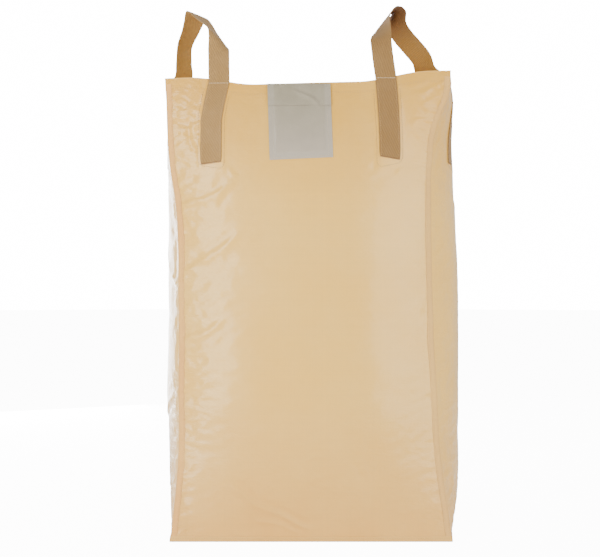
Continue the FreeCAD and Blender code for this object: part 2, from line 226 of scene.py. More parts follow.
reliefShape = {
    # each layer's height, and its length along the side and up it
    "slow": 0.0040,
    "slowSize": (0.31, 0.40),
    "middling": 0.0016,
    "middlingSize": (0.13, 0.11),
    "crumple": 0.0078,
    "crumpleSize": (0.105, 0.044),
    "fineCrumple": 0.0042,
    "fineCrumpleSize": (0.050, 0.023),
    "edgeFade": 0.030,
    "patchStep": 0.0016,
    "legCalm": 0.75,
    "rimCalm": 0.65,
}
creases = {
    "front": [  # start along, start height, end along, end height, half width, depth
        (-0.277, 0.201, -0.146, 0.116, 0.010, 0.0060),
        (-0.146, 0.116, 0.009, 0.053, 0.009, 0.0065),
        (-0.178, 0.081, -0.026, 0.035, 0.008, 0.0045),
        (-0.005, 0.296, 0.072, 0.317, 0.007, 0.0030),
        (0.161, 0.282, 0.195, 0.236, 0.010, -0.0035),
        (-0.250, 1.270, -0.330, 1.200, 0.010, 0.0040),
        (-0.300, 1.330, -0.240, 1.285, 0.008, 0.0030),
        (-0.440, 1.180, -0.290, 1.245, 0.012, 0.0050),
        (-0.450, 0.930, -0.250, 1.080, 0.014, 0.0060),
        (-0.440, 0.700, -0.300, 0.780, 0.012, 0.0050),
        (-0.430, 1.480, -0.390, 1.370, 0.010, -0.0050),
        (0.330, 1.560, 0.430, 1.600, 0.010, 0.0030),
        (0.310, 1.300, 0.400, 1.330, 0.014, 0.0030),
        (-0.060, 0.640, 0.080, 0.700, 0.020, 0.0025),
    ],
    "right": [(-0.340, 1.250, -0.160, 1.190, 0.016, 0.0025), (0.420, 0.300, 0.150, 0.140, 0.014, 0.006)],
    "back": [(-0.350, 0.240, -0.080, 0.110, 0.012, 0.006), (0.180, 0.300, 0.330, 0.220, 0.012, 0.004),
             (0.420, 1.150, 0.220, 1.250, 0.014, 0.005), (-0.400, 0.800, -0.250, 0.900, 0.014, 0.004)],
    "left": [(0.430, 0.900, 0.200, 1.050, 0.014, 0.006), (-0.400, 0.350, -0.150, 0.180, 0.014, 0.006),
             (0.400, 0.500, 0.180, 0.420, 0.012, 0.005)],
}


def noiseField(u, v, seed):
    angles = np.random.default_rng(seed).uniform(0, 2 * np.pi, (64, 64))
    wholeU, wholeV = np.floor(u).astype(int), np.floor(v).astype(int)
    partU, partV = u - wholeU, v - wholeV
    easeU = partU ** 3 * (partU * (partU * 6 - 15) + 10)
    easeV = partV ** 3 * (partV * (partV * 6 - 15) + 10)

    def lean(du, dv):
        angle = angles[(wholeU + du) % 64, (wholeV + dv) % 64]
        return np.cos(angle) * (partU - du) + np.sin(angle) * (partV - dv)

    low = lean(0, 0) * (1 - easeU) + lean(1, 0) * easeU
    high = lean(0, 1) * (1 - easeU) + lean(1, 1) * easeU
    return (low * (1 - easeV) + high * easeV) * 1.5


def creaseAt(along, z, crease):
    startAlong, startZ, endAlong, endZ, width, depth = crease
    runAlong, runZ = endAlong - startAlong, endZ - startZ
    length = math.hypot(runAlong, runZ)
    t = ((along - startAlong) * runAlong + (z - startZ) * runZ) / length ** 2
    away = ((along - startAlong) * runZ - (z - startZ) * runAlong) / length
    away = away + 0.006 * np.sin(t * 5 + startAlong * 40)
    ends = smooth((t + 0.12) / 0.3) * smooth((1.12 - t) / 0.3)
    ridge = np.exp(-np.abs(away / width) ** 1.4) - 0.6 * np.exp(-((away + 1.7 * width) / (1.4 * width)) ** 2)
    return depth * ends * ridge


crumpleShape = {  # how crumpled each place is, and how far across the side that reaches
    "everywhere": 0.16,
    "leftCorner": 0.95, "leftReach": 0.08, "leftReachHigher": 0.17,
    "leftFoot": 1.1, "leftFootPlace": (-0.46, 0.03), "leftFootReach": 0.12,
    "rightCorner": 0.25, "rightReach": 0.2,
    "rightTop": 0.5, "rightTopReach": 0.12,
    "otherCorners": 0.6, "otherReach": 0.3,
    "otherFoot": 0.5, "otherFootReach": 0.25,
}


def crumpleLevel(side, along, z):
    # the front is most crumpled down its left corner and at that corner's foot, and least in its middle
    c = crumpleShape
    share = shareAt(side, along, z)
    rise = z / meanHeight
    level = np.full_like(share, c["everywhere"])
    if side != "front":
        level = level + c["otherCorners"] * smooth(1 - share / c["otherReach"])
        level = level + c["otherCorners"] * smooth(1 - (1 - share) / c["otherReach"])
        return level + c["otherFoot"] * smooth(1 - rise / c["otherFootReach"])
    spread = c["leftReach"] + c["leftReachHigher"] * smooth(rise / 0.5)
    level = level + c["leftCorner"] * smooth(1 - share / spread) * (0.6 + 0.4 * smooth((1.0 - rise) / 0.1))
    level = level + c["rightTop"] * smooth(1 - (1 - share) / c["rightTopReach"]) * smooth((rise - 0.6) / 0.3)
    level = level + c["rightCorner"] * smooth(1 - (1 - share) / c["rightReach"])
    footAlong, footZ = c["leftFootPlace"]
    away = np.hypot(along - footAlong, z - footZ)
    return level + c["leftFoot"] * smooth(1 - away / c["leftFootReach"])


def reliefAt(side, along, z):
    seed = 40 * sides.index(side) + 7
    share = shareAt(side, along, z)

    def layer(name, u, v, shiftU, shiftV, order):
        length, height = reliefShape[name + "Size"]
        return noiseField(u / length + shiftU, v / height + shiftV, seed + order)

    slow = reliefShape["slow"] * layer("slow", along, z, 9, 5, 0)
    middling = reliefShape["middling"] * layer("middling", along, z, 9, 5, 1)
    coarse = np.abs(layer("crumple", along + 0.35 * z, z - 0.30 * along, 20, 20, 2))
    fine = np.abs(layer("fineCrumple", along - 0.25 * z, z + 0.5 * along, 30, 30, 3))
    level = crumpleLevel(side, along, z)
    folds = level * (reliefShape["crumple"] * (0.3 - coarse) + reliefShape["fineCrumple"] * (0.3 - fine))
    for crease in creases[side]:
        folds = folds + creaseAt(along, z, crease)
    calm = 1 - reliefShape["legCalm"] * legCover(side, along, z)
    fade = smooth(np.minimum(share, 1 - share) / reliefShape["edgeFade"]) * smooth((z - 0.004) / 0.05)
    fade = fade * (1 - reliefShape["rimCalm"] * (1 - smooth((rimAt(side, share) - z) / 0.06)))
    return (slow + middling + folds) * calm * fade + patchStep(side, along, z)


def clothPoints(side, along, z, lift):
    # lift, a number or one for each point, is how far out of the panel's middle the points stand
    share = shareAt(side, along, z)
    out = reliefAt(side, along, z) + lift
    return skin(side, share, z) + skinNormal(side, share, z) * out[..., None]


# the webbing's legs: where each runs on its side

webbing = {
    "width": 0.075,
    "thickness": 0.0028,
    "lift": 0.0004,
    "legLength": 0.290,
    "sideLegPlace": 0.305,
    "place": {"left": (0.310, 0.337), "right": (0.275, 0.289)},
    "slantDepth": {"left": 0.14, "right": 0.26},
    "slantPower": {"left": 1.2, "right": 1.7},
    "footTilt": {"left": 0.10, "right": -0.13},
    "otherFootTilt": 0.04,
}
patchShape = {"width": 0.250, "top": 0.044, "depth": 0.320, "edge": 0.006, "thickness": 0.0012,
              "lift": -0.0012, "sewnHalf": 0.052, "sewnDepth": 0.322}
coverShape = {  # where the cloth lies calmer: under the legs and behind the pouch
    "place": 0.31, "half": 0.075, "soft": 0.03, "depth": 0.34,
    "pouchPlace": -0.026, "pouchHalf": 0.15, "pouchFoot": 1.31, "softFoot": 0.04,
}


def facesAcross(side):
    return side in ("left", "right")


def legSign(corner, side):
    return -1 if cornersOf[side][0] == corner else 1


def legPlace(corner, side, drop):
    sign = legSign(corner, side)
    if facesAcross(side):
        return sign * (webbing["sideLegPlace"] + 0.004 * np.sin(drop * 9))
    hand = handOf(corner)
    top, foot = webbing["place"][hand]
    slant = np.clip(1 - drop / webbing["slantDepth"][hand], 0, 1) ** webbing["slantPower"][hand]
    return sign * (foot + (top - foot) * slant)


def cornersAlong(side):
    return [corner for corner in sidesOfLoop if side in sidesOfLoop[corner]]


def legCover(side, along, z):
    cover = np.zeros_like(z)
    soft, softFoot = coverShape["soft"], coverShape["softFoot"]
    middle = webbing["sideLegPlace"] if facesAcross(side) else coverShape["place"]
    for corner in cornersAlong(side):
        place = legSign(corner, side) * middle
        above = coverShape["depth"] - rimAbove(side, np.full_like(z, place)) + z
        near = smooth((coverShape["half"] - np.abs(along - place)) / soft) * smooth(above / softFoot)
        cover = np.maximum(cover, near)
    if side == "front":
        within = coverShape["pouchHalf"] - np.abs(along - coverShape["pouchPlace"])
        near = smooth(within / soft) * smooth((z - coverShape["pouchFoot"]) / softFoot)
        cover = np.maximum(cover, near)
    return cover


def patchMiddle(corner, side):
    if facesAcross(side):
        return legSign(corner, side) * webbing["sideLegPlace"]
    top, foot = webbing["place"][handOf(corner)]
    return legSign(corner, side) * (top + foot) / 2


def patchStep(side, along, z):
    # the panel stands out a little over the sewn part of each patch, round the leg
    step = np.zeros_like(z)
    for corner in cornersAlong(side):
        drop = rimAbove(side, along) - z
        away = patchShape["sewnHalf"] - np.abs(along - legPlace(corner, side, np.maximum(drop, 0)))
        below = patchShape["sewnDepth"] - drop
        inside = smooth(away / patchShape["edge"]) * smooth(below / patchShape["edge"])
        step = np.maximum(step, inside)
    return reliefShape["patchStep"] * step


# meshes

def buildPiece(name, points, faces, material, uv, values, sharpAngle=50):
    mesh = bpy.data.meshes.new(name)
    mesh.from_pydata(points.tolist(), [], faces)
    layer = mesh.uv_layers.new(name="cloth")
    corner = np.empty(len(mesh.loops), dtype=np.int32)
    mesh.loops.foreach_get("vertex_index", corner)
    layer.data.foreach_set("uv", uv.astype(np.float32)[corner].ravel())
    for key, numbers in values.items():
        attribute = mesh.attributes.new(key, "FLOAT", "POINT")
        attribute.data.foreach_set("value", np.asarray(numbers, np.float32).ravel())
    mesh.polygons.foreach_set("use_smooth", np.ones(len(mesh.polygons), dtype=bool))
    mesh.set_sharp_from_angle(angle=math.radians(sharpAngle))
    mesh.materials.append(material)
    mesh.update()
    return addObject(name, mesh)


def closedSheet(outer, inner):
    rows, cols = outer.shape[:2]
    count = rows * cols
    grid = np.arange(count).reshape(rows, cols)
    low, high, near, far = grid[:-1, :-1], grid[1:, :-1], grid[:-1, 1:], grid[1:, 1:]
    faces = [np.stack([low, near, far, high], -1).reshape(-1, 4)]
    faces.append(np.stack([low, high, far, near], -1).reshape(-1, 4) + count)
    for edge in (grid[0, ::-1], grid[-1], grid[:, 0], grid[::-1, -1]):
        faces.append(np.stack([edge[:-1], edge[1:], edge[1:] + count, edge[:-1] + count], -1))
    points = np.concatenate([outer.reshape(-1, 3), inner.reshape(-1, 3)])
    return points, np.concatenate(faces).tolist()


def sheetPiece(name, outer, inner, uv, material, values=None):
    points, faces = closedSheet(outer, inner)
    doubled = np.concatenate([uv.reshape(-1, 2)] * 2)
    both = {key: np.concatenate([v.ravel()] * 2) for key, v in (values or {}).items()}
    return buildPiece(name, points, faces, material, doubled, both)


def clothSheet(name, side, along, z, lift, thickness, material, values=None):
    outer = clothPoints(side, along, z, lift + thickness)
    inner = clothPoints(side, along, z, lift)
    return sheetPiece(name, outer, inner, np.stack([along, z], -1), material, values)


def declareSheet(piece, node, body="bag"):
    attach(piece, body)
    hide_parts(node)


# shader groups, each used by several materials

def rgb(red, green, blue):
    def linear(value):
        value = value / 255
        return value / 12.92 if value <= 0.04045 else ((value + 0.055) / 1.055) ** 2.4
    return (linear(red), linear(green), linear(blue), 1.0)


class Nodes:
    def __init__(self, tree):
        self.tree = tree

    def add(self, kind, settings=None, **inputs):
        node = self.tree.nodes.new(kind)
        for key, value in (settings or {}).items():
            setattr(node, key, value)
        self.feed(node, **inputs)
        return node

    def feed(self, node, **inputs):
        # i0, i1 and so on are inputs by number, and the others by name
        for key, value in inputs.items():
            name = int(key[1:]) if key[0] == "i" and key[1:].isdigit() else key.replace("_", " ")
            socket = node.inputs[name]
            if isinstance(value, bpy.types.NodeSocket):
                self.tree.links.new(value, socket)
            else:
                socket.default_value = value

    def math(self, operation, first, second=0.0):
        return self.add("ShaderNodeMath", {"operation": operation}, i0=first, i1=second).outputs[0]

    def times(self, first, second):
        return self.math("MULTIPLY", first, second)

    def plus(self, first, second):
        return self.math("ADD", first, second)

    def axis(self, vector, index):
        return self.add("ShaderNodeSeparateXYZ", None, i0=vector).outputs[index]

    def attribute(self, name):
        return self.add("ShaderNodeAttribute", {"attribute_name": name}).outputs["Fac"]

    def place(self):
        return self.add("ShaderNodeTexCoord").outputs["Object"]

    def cloth(self):
        return self.add("ShaderNodeUVMap", {"uv_map": "cloth"}).outputs[0]

    def group(self, tree, **inputs):
        return self.add("ShaderNodeGroup", {"node_tree": tree}, **inputs).outputs

    def scaled(self, vector, amounts):
        return self.add("ShaderNodeVectorMath", {"operation": "MULTIPLY"}, i0=vector, i1=amounts).outputs[0]

    def noise(self, vector, scale, detail=2.0, roughness=0.5):
        node = self.add("ShaderNodeTexNoise", None, Vector=vector, Scale=scale)
        self.feed(node, Detail=detail, Roughness=roughness)
        return node.outputs["Fac"]

    def ramp(self, value, stops):
        node = self.add("ShaderNodeValToRGB", None, Fac=value)
        ramp = node.color_ramp
        while len(ramp.elements) < len(stops):
            ramp.elements.new(0.5)
        for element, (place, colour) in zip(ramp.elements, stops):
            element.position = place
            element.color = colour
        return node.outputs["Color"]

    def mix(self, factor, first, second, blend="MIX"):
        node = self.add("ShaderNodeMix", {"data_type": "RGBA", "blend_type": blend})
        self.feed(node, i0=factor, i6=first, i7=second)
        return node.outputs[2]

    def spread(self, value, low, high, newLow=0.0, newHigh=1.0):
        node = self.add("ShaderNodeMapRange", None, i0=value, i1=low, i2=high, i3=newLow, i4=newHigh)
        return node.outputs[0]

    def bump(self, height, strength, distance, normal=None):
        node = self.add("ShaderNodeBump", None, Height=height, Strength=strength, Distance=distance)
        if normal is not None:
            self.tree.links.new(normal, node.inputs["Normal"])
        return node.outputs["Normal"]


def newGroup(name, inputs, outputs, kindOfTree="ShaderNodeTree"):
    tree = bpy.data.node_groups.new(name, kindOfTree)
    for key, kind, value in inputs:
        socket = tree.interface.new_socket(key, in_out="INPUT", socket_type=kind)
        if value is not None:
            socket.default_value = value
    for key, kind in outputs:
        tree.interface.new_socket(key, in_out="OUTPUT", socket_type=kind)
    given = tree.nodes.new("NodeGroupInput").outputs
    result = tree.nodes.new("NodeGroupOutput")
    return tree, Nodes(tree), given, result


def makeTapeWeave():
    # flat tapes woven one over one: a height and a tone of its own for each tape
    tree, n, given, result = newGroup(
        "tapeWeave",
        [("Vector", "NodeSocketVector", None), ("Tapes Per Metre", "NodeSocketFloat", 380.0)],
        [("Height", "NodeSocketFloat"), ("Tone", "NodeSocketFloat")],
    )
    place = n.add("ShaderNodeVectorMath", {"operation": "SCALE"}, i0=given[0], Scale=given[1]).outputs[0]
    split = n.add("ShaderNodeSeparateXYZ", None, i0=place).outputs
    roundings, floors = [], []
    for axis in (0, 1):
        wave = n.math("SINE", n.times(split[axis], math.pi))
        roundings.append(n.math("POWER", n.math("ABSOLUTE", wave), 0.5))
        floors.append(n.math("FLOOR", split[axis]))
    over = n.math("MODULO", n.math("ABSOLUTE", n.plus(floors[0], floors[1])), 2.0)
    under = n.math("SUBTRACT", 1.0, over)
    height = n.plus(n.times(roundings[0], over), n.times(roundings[1], under))
    tones = []
    for axis, shift in ((0, 3.7), (1, 91.3)):
        node = n.add("ShaderNodeTexWhiteNoise", {"noise_dimensions": "1D"}, W=n.plus(floors[axis], shift))
        tones.append(node.outputs["Value"])
    tone = n.plus(n.times(tones[0], over), n.times(tones[1], under))
    n.feed(result, i0=height, i1=tone)
    return tree


def makeTwill():
    # warp-faced diagonal ribs, with the small steps of the crossing yarns
    tree, n, given, result = newGroup(
        "twillRibs",
        [("Vector", "NodeSocketVector", None), ("Ribs Per Metre", "NodeSocketFloat", 170.0),
         ("Slope", "NodeSocketFloat", -0.36)],
        [("Height", "NodeSocketFloat"), ("Tone", "NodeSocketFloat")],
    )
    split = n.add("ShaderNodeSeparateXYZ", None, i0=given[0]).outputs
    leaning = n.plus(split[0], n.times(split[1], given[2]))
    ribs = n.math("SINE", n.times(n.times(leaning, given[1]), 2 * math.pi))
    steps = n.math("SINE", n.times(n.times(split[1], given[1]), 5.2 * math.pi))
    height = n.plus(n.times(ribs, 0.36), n.times(steps, 0.14))
    height = n.plus(height, 0.5)
    yarn = n.noise(n.scaled(given[0], (420.0, 60.0, 1.0)), 1.0, 1.0)
    n.feed(result, i0=height, i1=yarn)
    return tree


def makeGrime():
    # faint cloudy dirt and handling marks
    tree, n, given, result = newGroup(
        "grime",
        [("Vector", "NodeSocketVector", None), ("Clouds Per Metre", "NodeSocketFloat", 4.0)],
        [("Clouds", "NodeSocketFloat"), ("Specks", "NodeSocketFloat")],
    )
    clouds = n.noise(given[0], given[1], 5.0, 0.6)
    specks = n.spread(n.noise(given[0], 190.0, 2.0, 0.7), 0.62, 0.80)
    n.feed(result, i0=clouds, i1=specks)
    return tree


tapeWeave, twillRibs, grime = makeTapeWeave(), makeTwill(), makeGrime()


def newMaterial(name):
    material = bpy.data.materials.new(name)
    material.use_nodes = True
    tree = material.node_tree
    shader = tree.nodes["Principled BSDF"]
    return material, Nodes(tree), shader


fabricLook = {
    "foot": rgb(242, 184, 88),
    "middle": rgb(255, 200, 84),
    "top": rgb(230, 168, 34),
    "worn": rgb(255, 211, 114),
    "strip": rgb(246, 178, 92),
    # the next colour is painted shade along the rolled edges of the seam strips
    "stripEdgeShade": rgb(176, 128, 62),
    "tape": rgb(196, 150, 92),
    "speck": rgb(150, 112, 70),
    "tapesPerMetre": 370.0,
    "roughness": (0.32, 0.48),
    "bareRoughness": (0.62, 0.78),
    "coat": 0.55,
    "coatRoughness": 0.16,
    "hemTint": rgb(236, 184, 92),
    "seamTint": rgb(232, 182, 108),
}


def makePanelFabric(name, coated=True, tint=None, strip=False):
    material, n, shader = newMaterial(name)
    flat = n.cloth()
    place = n.place()
    height = n.axis(place, 2)
    rise = n.spread(height, 0.0, meanHeight)
    base = n.ramp(rise, [(0.0, fabricLook["foot"]), (0.35, fabricLook["middle"]),
                         (0.72, fabricLook["middle"]), (1.0, fabricLook["top"])])
    if tint is not None:
        base = n.mix(0.75, base, tint)
    if strip:  # strips on the left are more orange; both have a darker line at their edges, painted shade where the rolled edges turn away
        leftward = n.spread(n.axis(place, 0), 0.1, -0.3)
        base = n.mix(n.times(leftward, 0.8), base, fabricLook["strip"])
        edge = n.attribute("edge")
        base = n.mix(n.spread(edge, 0.72, 1.0, 0.0, 0.55), base, fabricLook["stripEdgeShade"])
    dirt = n.group(grime, Vector=place)
    weave = n.group(tapeWeave, Vector=flat, Tapes_Per_Metre=fabricLook["tapesPerMetre"])
    colour = n.mix(n.spread(dirt["Clouds"], 0.35, 0.75, 0.0, 0.35), base, fabricLook["worn"])
    colour = n.mix(n.spread(weave["Tone"], 0.0, 1.0, 0.0, 0.10), colour, fabricLook["tape"])
    colour = n.mix(n.times(dirt["Specks"], 0.10), colour, fabricLook["speck"])
    if coated:
        gloss = n.spread(n.noise(place, 9.0, 3.0), 0.3, 0.7, *fabricLook["roughness"])
    else:
        gloss = n.spread(weave["Tone"], 0.0, 1.0, *fabricLook["bareRoughness"])
    crinkle = n.noise(n.scaled(place, (24.0, 24.0, 62.0)), 1.0, 4.0, 0.6)
    ridge = n.math("ABSOLUTE", n.math("SUBTRACT", crinkle, 0.5))
    if coated:  # deeper where the cloth is crumpled
        level = n.attribute("level")
        ridge = n.times(ridge, n.spread(level, 0.1, 1.0, 0.25, 1.6))
    normal = n.bump(ridge, 0.6 if coated else 0.25, 0.008)
    normal = n.bump(weave["Height"], 0.35 if coated else 0.6, 0.0004, normal)
    n.feed(shader, Base_Color=colour, Roughness=gloss, Normal=normal)
    coat = fabricLook["coat"] if coated else 0.0
    n.feed(shader, Coat_Weight=coat, Coat_Roughness=fabricLook["coatRoughness"], IOR=1.49)
    return material


webbingLook = {
    "outer": rgb(176, 137, 76),
    "outerDark": rgb(130, 96, 46),
    "inner": rgb(199, 151, 66),
    "innerDark": rgb(142, 102, 34),
    "rightShade": rgb(232, 226, 214),
    # the next colour is painted shade at the crown of each arch
    "crownShade": rgb(112, 70, 14),
    "dirt": rgb(190, 154, 104),
}


def makeWebbing():
    material, n, shader = newMaterial("twill webbing")
    flat = n.cloth()
    place = n.place()
    inner = n.attribute("innerFace")
    twill = n.group(twillRibs, Vector=flat)
    dirt = n.group(grime, Vector=place, Clouds_Per_Metre=9.0)
    pale = n.mix(inner, webbingLook["outer"], webbingLook["inner"])
    dark = n.mix(inner, webbingLook["outerDark"], webbingLook["innerDark"])
    shade = n.plus(n.times(twill["Height"], 0.7), n.times(twill["Tone"], 0.45))
    colour = n.mix(n.spread(shade, 0.15, 0.9), dark, pale)
    colour = n.mix(n.spread(dirt["Clouds"], 0.4, 0.8, 0.0, 0.3), colour, webbingLook["dirt"])
    # painted shade: the inner face darkens round the crown of each arch, where the loop folds over and
    # shades itself, most on the front right loop
    folded = n.attribute("crownShade")
    colour = n.mix(folded, colour, webbingLook["crownShade"])
    rightward = n.spread(n.axis(place, 0), 0.0, 0.2)
    # painted shade: the right loops are painted a little darker, for the weaker light on the right
    colour = n.mix(rightward, colour, webbingLook["rightShade"], "MULTIPLY")
    rough = n.spread(twill["Tone"], 0.3, 0.7, 0.66, 0.86)
    normal = n.bump(twill["Height"], 0.8, 0.0011)
    normal = n.bump(twill["Tone"], 0.4, 0.0004, normal)
    n.feed(shader, Base_Color=colour, Roughness=rough, Normal=normal, Sheen_Weight=0.15)
    return material


filmLook = {
    "foot": rgb(176, 164, 146),
    "top": rgb(146, 138, 114),
    "footHeight": 1.34,
    "topHeight": 1.62,
    "dirt": rgb(184, 172, 152),
    "weld": rgb(190, 182, 168),
    "weldPitch": 0.0022,
}


def makeFilm():
    material, n, shader = newMaterial("milky pouch film")
    place = n.place()
    border = n.attribute("weld")
    height = n.axis(place, 2)
    dirt = n.group(grime, Vector=place, Clouds_Per_Metre=14.0)
    # painted shade: the film darkens towards its top, in the shade of the flap and the rim
    rise = n.spread(height, filmLook["footHeight"], filmLook["topHeight"])
    base = n.ramp(rise, [(0.0, filmLook["foot"]), (1.0, filmLook["top"])])
    colour = n.mix(n.spread(dirt["Clouds"], 0.4, 0.8, 0.0, 0.4), base, filmLook["dirt"])
    colour = n.mix(n.times(border, 0.22), colour, filmLook["weld"])
    ribbed = n.math("SINE", n.times(height, 2 * math.pi / filmLook["weldPitch"]))
    rough = n.spread(dirt["Clouds"], 0.3, 0.7, 0.34, 0.5)
    normal = n.bump(n.noise(place, 30.0, 3.0), 0.35, 0.003)
    normal = n.bump(n.times(ribbed, border), 0.3, 0.0003, normal)
    n.feed(shader, Base_Color=colour, Roughness=rough, Normal=normal)
    n.feed(shader, Coat_Weight=0.2, Coat_Roughness=0.25)
    return material


threadLook = {  # the pale and the dark of each thread's twist
    "pale": (rgb(240, 222, 190), rgb(206, 178, 134)),
    "golden": (rgb(224, 186, 118), rgb(190, 146, 78)),
    "olive": (rgb(196, 158, 92), rgb(160, 122, 62)),
    "brown": (rgb(118, 84, 48), rgb(70, 46, 24)),
}


def makeThread(name):
    pale, dark = threadLook[name]
    material, n, shader = newMaterial(f"{name} thread")
    place = n.place()
    twist = n.noise(place, 900.0, 1.0)
    dirt = n.group(grime, Vector=place, Clouds_Per_Metre=20.0)
    colour = n.mix(n.spread(twist, 0.3, 0.7), dark, pale)
    colour = n.mix(n.spread(dirt["Clouds"], 0.4, 0.8, 0.0, 0.3), colour, dark)
    rough = n.spread(twist, 0.3, 0.7, 0.5, 0.7)
    n.feed(shader, Base_Color=colour, Roughness=rough, Normal=n.bump(twist, 0.5, 0.0003))
    return material


panelFabric = makePanelFabric("coated panel fabric")
hemFabric = makePanelFabric("hem fabric", tint=fabricLook["hemTint"])
seamFabric = makePanelFabric("seam fabric", coated=False, tint=fabricLook["seamTint"], strip=True)
innerFabric = makePanelFabric("uncoated inner fabric", coated=False)
twillWebbing = makeWebbing()
pouchFilm = makeFilm()
threads = {name: makeThread(name) for name in threadLook}
print("stage: materials")


# the four panels

panelShape = {"thickness": 0.0008, "frontGrid": (158, 262), "otherGrid": (118, 196), "crowding": 0.055}


def panelHeights(count):
    steps = np.linspace(0, 1, count)
    # closer together towards the rim and the foot
    return steps - panelShape["crowding"] * np.sin(2 * np.pi * steps)


def makePanel(side):
    columns, rows = panelShape["frontGrid" if side == "front" else "otherGrid"]
    share, step = np.meshgrid(np.linspace(0, 1, columns), panelHeights(rows))
    thickness = panelShape["thickness"]
    z = step * (rimAt(side, share) - thickness)
    along = alongAt(side, share, z)
    level = crumpleLevel(side, along, z)
    piece = clothSheet(f"panel_{side}", side, along, z, -thickness, thickness, panelFabric, {"level": level})
    hangers = [f"webbing_{corner}" for corner in cornersAlong(side)]
    declareSheet(piece, f"{side}_panel")


for side in sides:
    makePanel(side)
print("stage: panels")


# the base sheet, with the slight waves of slack fabric

baseShape = {"thickness": 0.0008, "wave": 0.0035, "cells": 60, "height": 0.0012, "gap": 0.001}


def makeBase():
    reach = halfBase - baseShape["gap"]
    left, right = (bagShape["cornerLine"][hand][0][1] - baseShape["gap"] for hand in ("left", "right"))
    steps = np.linspace(0, 1, baseShape["cells"])
    x, y = np.meshgrid(-left + steps * (left + right), (2 * steps - 1) * reach)
    inward = smooth(np.minimum(reach - np.abs(y), np.minimum(x + left, right - x)) / 0.12)
    wave = np.abs(noiseField(x / 0.23 + 8, y / 0.19 + 8, 77))
    wave = wave + 0.5 * np.abs(noiseField(x / 0.1 + 8, y / 0.12 + 8, 78))
    z = baseShape["height"] + baseShape["wave"] * wave * inward
    top = np.stack([x, y, z], -1)
    under = top - np.array([0, 0, baseShape["thickness"]])
    piece = sheetPiece("base_sheet", top, under, np.stack([x, y], -1), innerFabric)
    declareSheet(piece, "base_panel")


makeBase()
print("stage: base")


# the rim hem: folded over the panel's top edge and sewn down inside

hemShape = {"depth": 0.040, "foldRadius": 0.0014, "thickness": 0.0007, "lap": 0.0035, "columns": 150,
            "lift": 0.0003, "wave": 0.0007, "turnOver": 0.008}


def hemProfile():
    radius = hemShape["foldRadius"]
    middle = hemShape["lift"] - radius
    points = [(hemShape["lift"], -hemShape["lap"]), (hemShape["lift"], -hemShape["lap"] / 2)]
    for angle in np.linspace(0, math.pi, 9):
        points.append((middle + radius * math.cos(angle), radius * math.sin(angle) - radius * 0.6))
    for drop in np.linspace(0.004, hemShape["depth"], 12):
        points.append((middle - radius, -drop))
    return np.array(points)


def makeHem(side):
    profile = hemProfile()
    heading = unit(np.gradient(profile, axis=0))
    outwards = np.stack([heading[:, 1], -heading[:, 0]], -1)
    share, inside = np.meshgrid(np.linspace(0, 1, hemShape["columns"]), np.linspace(0, 1, len(profile)))
    wave = smooth((inside - 0.5) * 3) * noiseField(share * 30 + 5, inside * 2 + 5, 91)
    shells = []
    for offset in (0.5, -0.5):
        out, drop = (profile + outwards * hemShape["thickness"] * offset).T[..., None]
        z = rimAt(side, share) + drop
        along = alongAt(side, share, z)
        shells.append(clothPoints(side, along, z, out + hemShape["wave"] * wave))
    uv = np.stack([along, 2 * hemShape["depth"] * inside], -1)
    piece = sheetPiece(f"hem_{side}", shells[0], shells[1], uv, hemFabric)
    declareSheet(piece, f"rim_hem_{side}")


for side in sides:
    makeHem(side)
print("stage: hems")


# seam strips: one down each corner, one along the foot of each side

stripShape = {"cornerWidth": 0.022, "baseHeight": 0.020, "thickness": 0.0013, "lift": 0.0003,
              "topGap": 0.020, "footGap": 0.003, "columns": 9, "cornerRows": 240, "baseColumns": 150,
              "widthVary": 0.10, "heightVary": 0.0012}


def stripProfile(t):
    # rolled edges: full thickness in the middle and thin at both sides
    return stripShape["thickness"] * (0.25 + 0.75 * smooth(np.minimum(t, 1 - t) / 0.16))


def stripSide(corner):
    # the side that the corner's strip lies on, and which end of it
    side = corner.split("_")[0]
    return side, legSign(corner, side)


def makeCornerStrip(corner):
    side, sign = stripSide(corner)
    steps = np.linspace(0, 1, stripShape["cornerRows"])
    t, step = np.meshgrid(np.linspace(0, 1, stripShape["columns"]), steps)
    top = rimAt(side, np.array([0.01 if sign < 0 else 0.99]))[0] - stripShape["topGap"]
    z = stripShape["footGap"] + step * (top - stripShape["footGap"])
    vary = stripShape["widthVary"] * noiseField(z / 0.12 + 2, np.full_like(z, 0.4), 55)
    width = stripShape["cornerWidth"] * (1 + vary)
    fromCorner = width * (t if sign < 0 else 1 - t) + stripShape["lift"]
    along = alongAt(side, np.full_like(z, sign > 0), z) - sign * fromCorner
    piece = clothSheet(f"corner_strip_{corner}", side, along, z, stripShape["lift"], stripProfile(t),
                       seamFabric, {"edge": np.abs(2 * t - 1)})
    declareSheet(piece, f"corner_seam_{corner}")


def makeBaseStrip(side):
    steps = np.linspace(0, 1, stripShape["columns"])
    share, t = np.meshgrid(np.linspace(0.001, 0.999, stripShape["baseColumns"]), steps)
    vary = stripShape["heightVary"] * noiseField(share * 14 + 3, np.full_like(t, 0.6), 66)
    z = 2 * stripShape["lift"] + t * (stripShape["baseHeight"] + vary)
    along = alongAt(side, share, z)
    lift = 2 * stripShape["lift"]
    piece = clothSheet(f"base_strip_{side}", side, along, z, lift, stripProfile(t), hemFabric)
    declareSheet(piece, f"base_seam_{side}")


for corner in sidesOfLoop:
    makeCornerStrip(corner)
for side in sides:
    makeBaseStrip(side)
print("stage: seam strips")


# the doublings inside the panels, behind the legs

